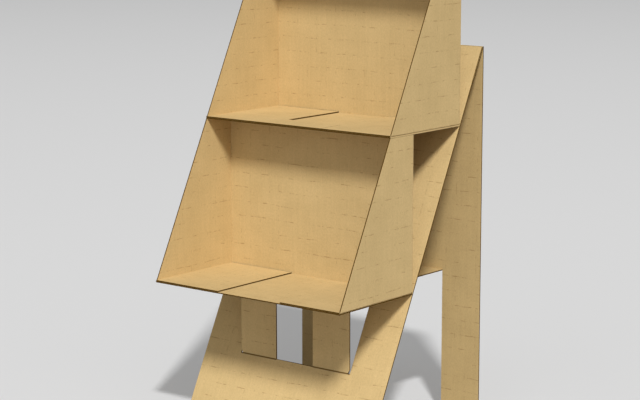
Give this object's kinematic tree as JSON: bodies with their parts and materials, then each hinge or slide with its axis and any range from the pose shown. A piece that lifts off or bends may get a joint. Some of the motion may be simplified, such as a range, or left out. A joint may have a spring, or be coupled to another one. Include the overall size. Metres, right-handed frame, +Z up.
{
  "type": "cardboard display stand",
  "caption": "Floor display of corrugated board: open-fronted bins stacked on a leaning easel with a cut-out window and a legged rear support.",
  "frame": {"origin": "on the floor, midway across the width and midway between the foremost edge (the lower bin's front) and the back of the rear legs", "axes": "+X to the right seen from the front, +Y to the back, +Z up"},
  "size_m": [0.6, 0.597, 1.203],
  "materials": {
    "front_panel": "matte kraft",
    "rear_support": "matte kraft",
    "lower_bin": "matte kraft",
    "upper_bin": "matte kraft"
  },
  "bodies": {
    "root": {"front_panel": "front_panel", "rear_support": "rear_support", "lower_bin": "lower_bin", "upper_bin": "upper_bin"}
  },
  "joints": []
}
